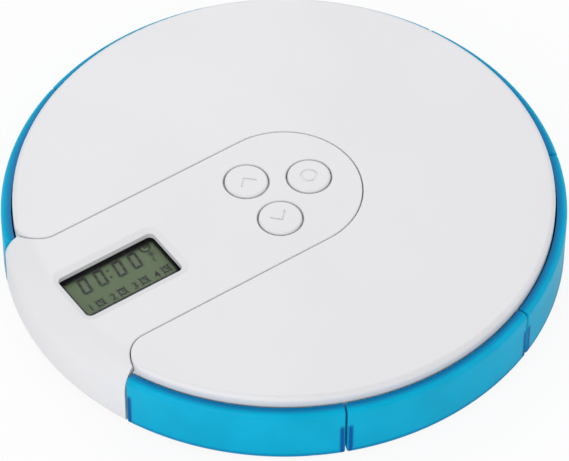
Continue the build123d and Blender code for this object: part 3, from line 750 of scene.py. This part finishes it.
class PILLBOX_OT_display(bpy.types.Operator):
    """Finish the display: lens, polariser film, clock figures and alarm signs"""
    bl_idname = "pillbox.display"
    bl_label = "Display"

    def execute(self, context):
        settings = context.scene.pill_box_display
        ink = plain_plastic("display_ink", tuple(settings.ink), roughness=0.5, grain=0.3 * MM, relief=0.0)
        paint("lcd_lens", clear_acrylic("clear_acrylic_window"))
        paint("lcd_panel", display_film("olive_polariser_film", settings))
        corner = window_corner(settings)
        low, high = corner.z, corner.z + settings.relief
        make_piece("clock_figures", clock_figures(settings, corner), ink, "case")
        signs = bmesh.new()
        clock_middle = (corner.x + CLOCK_SIGN[0] * MM, corner.y + CLOCK_SIGN[1] * MM)
        clock_sign(signs, clock_middle, CLOCK_RADIUS * MM, settings.sign_line, low, high)
        day_and_night_signs(signs, corner, low, high)
        make_piece("clock_signs", signs, ink, "case")

        row_start = Vector((corner.x + ALARM_SIGN[0] * MM, corner.y + ALARM_SIGN[1] * MM))
        sign = bmesh.new()
        radius = ALARM_RADIUS * MM
        foot_reach = 1.45 * radius
        clock_sign(sign, row_start, radius, settings.sign_line, low, high)
        for turn in range(4):
            way = Vector((cos(pi / 4 + turn * pi / 2), sin(pi / 4 + turn * pi / 2)))
            stroke = bar(row_start + way * radius, row_start + way * foot_reach, settings.sign_line)
            prism(sign, stroke, low, high)
        row = new_object("alarm_signs", sign)
        inputs = {"Count": ("NodeSocketInt", settings.alarm_count),
                  "Pitch": ("NodeSocketFloat", settings.alarm_pitch)}
        repeat_modifier(row, "alarm_row", inputs, row_points, ink)
        bake_modifiers(row)
        join_case(row)

        figures = bmesh.new()
        for number in range(settings.alarm_count):
            data = numeral(str(number + 1), ALARM_FIGURE_HEIGHT * MM, settings.relief)
            start = corner + Vector((ALARM_FIGURE[0] * MM + number * settings.alarm_pitch,
                                     ALARM_FIGURE[1] * MM, settings.relief / 2))
            data.transform(Matrix.Translation(start))
            figures.from_mesh(data)
            bpy.data.meshes.remove(data)
        bmesh.ops.remove_doubles(figures, verts=figures.verts, dist=SAME_PLACE)
        bmesh.ops.recalc_face_normals(figures, faces=figures.faces)
        make_piece("alarm_numbers", figures, ink, "case")
        return {"FINISHED"}


def carve_out(piece, cutter):
    """Take a cutter's form out of a piece and bake it; the cutter is used up."""
    tool = new_object("cutter", cutter)
    carve = piece.modifiers.new("carve", "BOOLEAN")
    carve.operation, carve.solver, carve.object = "DIFFERENCE", "EXACT", tool
    bake_modifiers(piece)
    bpy.data.objects.remove(tool)


def carved_copy(node_name, name, cutter):
    """Copy of a CAD node with a cutter's form taken out of it; the cutter is used up."""
    blank = bmesh.new()
    blank.from_mesh(NODES[node_name].data)
    bmesh.ops.remove_doubles(blank, verts=blank.verts, dist=SAME_PLACE)
    # Flat faces become one again, so that the cut leaves no thin triangles across them.
    bmesh.ops.dissolve_limit(blank, angle_limit=radians(0.5), verts=blank.verts, edges=blank.edges)
    piece = new_object(name, blank)
    piece.data.materials.append(NODES[node_name].data.materials[0])
    carve_out(piece, cutter)
    return piece


class PILLBOX_OT_buttons(bpy.types.Operator):
    """Finish the three caps and sink a mark into each"""
    bl_idname = "pillbox.buttons"
    bl_label = "Buttons"

    def execute(self, context):
        shell = context.scene.pill_box_shell
        settings = context.scene.pill_box_marks
        white = moulded_abs("satin_white_cap", tuple(shell.colour), shell.roughness, shell.grain, relief=0.2)
        half, stroke = settings.size / 2, settings.stroke
        arrow_foot, arrow_peak = -0.4 * half, 0.6 * half
        for name, rise in (("hour", 1), ("minute", -1), ("mode", 0)):
            paint(f"{name}_button", white)
            low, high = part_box(f"{name}_button")
            middle = (low + high) / 2
            cutter = bmesh.new()
            floor, top = high.z - settings.depth, high.z + settings.depth
            if rise:
                arrow = [(-half, arrow_foot - stroke), (0, arrow_peak - stroke), (half, arrow_foot - stroke),
                         (half, arrow_foot), (0, arrow_peak), (-half, arrow_foot)]
                prism(cutter, [(middle.x + rise * x, middle.y + rise * y) for x, y in arrow], floor, top)
            else:
                ring(cutter, (middle.x, middle.y), half, half - stroke, floor, top)
            cap = carved_copy(f"{name}_button", f"{name}_cap", cutter)
            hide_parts(f"{name}_button")
            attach(cap, f"{name}_key")
        return {"FINISHED"}


class PILLBOX_OT_inner_parts(bpy.types.Operator):
    """Finish the board, its components, the cells, contacts and feet"""
    bl_idname = "pillbox.inner_parts"
    bl_label = "Inner Parts"

    def execute(self, context):
        black = plain_plastic("black_moulded_resin", linear("#1A1A1C"), roughness=0.5)
        steel = plated_steel("nickel_plated_steel", STEEL, roughness=0.3)
        jacket, band = linear("#2E3A44"), linear("#9AA6AE")
        finishes = {
            black: ("controller_chip", "buzzer", "switch_bodies", "hour_plunger", "minute_plunger",
                    "mode_plunger"),
            steel: ("battery_springs", "battery_contacts", "quartz_crystal"),
            plain_plastic("green_solder_mask", linear("#1F6B3A"), roughness=0.4): ("circuit_board",),
            plain_plastic("layered_silicone", linear("#C98A98"), roughness=0.7): ("zebra_strip",),
            cell_jacket("printed_cell_jacket_1", "battery_cell_1", jacket, band, True): ("battery_cell_1",),
            cell_jacket("printed_cell_jacket_2", "battery_cell_2", jacket, band, False): ("battery_cell_2",),
            plain_plastic("black_foot_rubber", linear("#2A2A2A"), roughness=0.85): ("rubber_feet",),
        }
        for material, names in finishes.items():
            for name in names:
                paint(name, material)
        return {"FINISHED"}


def solid_places(node_name):
    """Foot point, height and widest radius of each separate solid of a CAD node."""
    mesh = bmesh.new()
    mesh.from_mesh(NODES[node_name].data)
    bmesh.ops.remove_doubles(mesh, verts=mesh.verts, dist=SAME_PLACE)
    waiting, places = set(mesh.verts), []
    while waiting:
        front, solid = [waiting.pop()], []
        while front:
            vertex = front.pop()
            solid.append(vertex.co.copy())
            for edge in vertex.link_edges:
                other = edge.other_vert(vertex)
                if other in waiting:
                    waiting.discard(other)
                    front.append(other)
        low = Vector(min(point[axis] for point in solid) for axis in range(3))
        high = Vector(max(point[axis] for point in solid) for axis in range(3))
        places.append((Vector(((low.x + high.x) / 2, (low.y + high.y) / 2, low.z)), high.z - low.z,
                       (high.x - low.x) / 2))
    mesh.free()
    return places


def screw_mesh(settings, head_radius, head_height, length):
    """Pan-head screw pointing up from its head's underside, with rolled threads and a cross recess."""
    shank = head_radius * settings.shank_share
    mesh = bmesh.new()
    profile = [(0, 0)] + [(radius * head_radius, height * head_height) for radius, height in HEAD_PROFILE]
    profile.append((shank, head_height))
    root, flank = THREAD_ROOT * shank, THREAD_FLANK * settings.thread_pitch
    height = head_height + settings.thread_pitch
    while height < length - shank:
        profile += [(root, height - flank), (shank, height)]
        height += settings.thread_pitch
    profile += [(root, length - shank), (SCREW_TIP * shank, length), (0, length)]
    lathe(mesh, profile)
    screw = new_object("screw", mesh)
    reach, width = CROSS_REACH * head_radius, settings.recess_share * head_radius
    quarter = [(width, -reach), (width, -width), (reach, -width)]
    outline = []
    for _ in range(4):
        outline += quarter
        quarter = [(-y, x) for x, y in quarter]
    cutter = bmesh.new()
    prism(cutter, outline, -head_height, CROSS_DEPTH * head_height)
    carve_out(screw, cutter)
    return screw


class PILLBOX_OT_fasteners(bpy.types.Operator):
    """Replace the plain screws by cross-recessed ones with threads"""
    bl_idname = "pillbox.fasteners"
    bl_label = "Fasteners"

    def execute(self, context):
        settings = context.scene.pill_box_screws
        zinc = plated_steel("zinc_plated_steel", linear("#A8AAAE"), roughness=0.35)
        for name in ("housing_screws", "cover_screws", "board_screws"):
            places = solid_places(name)
            _, length, head_radius = places[0]
            head_height = settings.board_head if name == "board_screws" else settings.case_head
            screws = screw_mesh(settings, head_radius, head_height, length)
            screws.name = name.replace("screws", "fasteners")
            marks = bmesh.new()
            for place, _, _ in places:
                marks.verts.new(place)
            holder = new_object("places", marks)
            inputs = {"Places": ("NodeSocketObject", holder)}
            repeat_modifier(screws, "fasteners", inputs, placed_points, zinc)
            bake_modifiers(screws)
            bpy.data.objects.remove(holder)
            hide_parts(name)
            join_case(screws)
        return {"FINISHED"}


def soft_lamp(name, size, energy, place, aim):
    """Square area lamp that faces a point."""
    data = bpy.data.lights.new(name, "AREA")
    data.size = size
    data.energy = energy
    lamp = bpy.data.objects.new(name, data)
    lamp.location = place
    lamp.rotation_euler = (aim - place).to_track_quat("-Z", "Y").to_euler()
    bpy.context.scene.collection.objects.link(lamp)


def floor_paper(name, colour):
    """Pale paper floor that a camera sees near white and that keeps a soft shadow."""
    material, tree = new_material(name)
    tint = mottle(tree, object_noise(tree, 2 * MM), darker(colour, 0.98), colour)
    paper = add_node(tree, "ShaderNodeBsdfDiffuse", {"Color": tint})
    white = add_node(tree, "ShaderNodeEmission", {"Color": grey(1), "Strength": 1.0})
    rays = add_node(tree, "ShaderNodeLightPath")
    seen = calculate(tree, "MULTIPLY", rays.outputs["Is Camera Ray"], FLOOR_WHITE)
    mixed = add_node(tree, "ShaderNodeMixShader", {0: seen, 1: paper.outputs[0], 2: white.outputs[0]})
    finish_material(tree, mixed)
    return material


class PILLBOX_OT_stage(bpy.types.Operator):
    """Set the camera, soft lamps, world and pale floor"""
    bl_idname = "pillbox.stage"
    bl_label = "Stage"

    def execute(self, context):
        settings = context.scene.pill_box_stage
        middle = Vector((0, 0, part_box("top_cover")[1].z / 2))

        data = bpy.data.meshes.new("floor")
        corners = [(x * FLOOR_REACH, y * FLOOR_REACH, 0) for x, y in ((-1, -1), (1, -1), (1, 1), (-1, 1))]
        data.from_pydata(corners, [], [(0, 1, 2, 3)])
        data.materials.append(floor_paper("pale_paper_floor", tuple(settings.floor_colour)))
        floor = bpy.data.objects.new("floor", data)
        context.scene.collection.objects.link(floor)

        world = bpy.data.worlds.new("studio")
        world.use_nodes = True
        world.node_tree.nodes.clear()
        tree = world.node_tree
        rays = add_node(tree, "ShaderNodeLightPath")
        white = add_node(tree, "ShaderNodeBackground", {"Color": grey(1), "Strength": 1.0})
        room = add_node(tree, "ShaderNodeBackground", {"Color": linear("#F4F4F6"), "Strength": ROOM_STRENGTH})
        mixed = add_node(tree, "ShaderNodeMixShader", {0: rays.outputs["Is Camera Ray"], 1: room.outputs[0],
                                                       2: white.outputs[0]})
        add_node(tree, "ShaderNodeOutputWorld", {"Surface": mixed.outputs[0]})
        context.scene.world = world

        for name, size, power, place in LAMPS:
            soft_lamp(name, size, power, Vector(place), middle)

        camera_data = bpy.data.cameras.new("camera")
        camera_data.sensor_width = 36.0
        camera_data.lens = settings.lens
        camera_data.shift_x, camera_data.shift_y = settings.shift
        camera_data.clip_start = 0.01
        camera = bpy.data.objects.new("camera", camera_data)
        flat = cos(settings.elevation)
        direction = Vector((sin(settings.azimuth) * flat, -cos(settings.azimuth) * flat,
                            sin(settings.elevation)))
        camera.location = middle + direction * settings.distance
        aim = (-direction).to_track_quat("-Z", "Y") @ Quaternion((0, 0, 1), settings.roll)
        camera.rotation_euler = aim.to_euler()
        context.scene.collection.objects.link(camera)
        context.scene.camera = camera
        context.scene.view_settings.view_transform = "Standard"
        return {"FINISHED"}


class PILLBOX_PT_sidebar(bpy.types.Panel):
    """Buttons for each group of pieces"""
    bl_idname = "PILLBOX_PT_sidebar"
    bl_label = "Pill Box"
    bl_space_type = "VIEW_3D"
    bl_region_type = "UI"
    bl_category = "Pill Box"

    def draw(self, context):
        for operator in OPERATORS:
            self.layout.operator(operator.bl_idname)
        for name in SETTINGS:
            box = self.layout.box()
            group = getattr(context.scene, name)
            for key in group.__annotations__:
                box.prop(group, key)


OPERATORS = (
    PILLBOX_OT_mouldings,
    PILLBOX_OT_drawers,
    PILLBOX_OT_display,
    PILLBOX_OT_buttons,
    PILLBOX_OT_inner_parts,
    PILLBOX_OT_fasteners,
    PILLBOX_OT_stage,
)


def register():
    for name, group in SETTINGS.items():
        bpy.utils.register_class(group)
        setattr(bpy.types.Scene, name, PointerProperty(type=group))
    for cls in OPERATORS + (PILLBOX_PT_sidebar,):
        bpy.utils.register_class(cls)


def unregister():
    for cls in reversed(OPERATORS + (PILLBOX_PT_sidebar,)):
        bpy.utils.unregister_class(cls)
    for name, group in reversed(SETTINGS.items()):
        delattr(bpy.types.Scene, name)
        bpy.utils.unregister_class(group)


def main():
    register()
    bpy.ops.pillbox.mouldings()
    bpy.ops.pillbox.drawers()
    bpy.ops.pillbox.display()
    bpy.ops.pillbox.buttons()
    bpy.ops.pillbox.inner_parts()
    bpy.ops.pillbox.fasteners()
    bpy.ops.pillbox.stage()


if __name__ == "__main__":
    main()
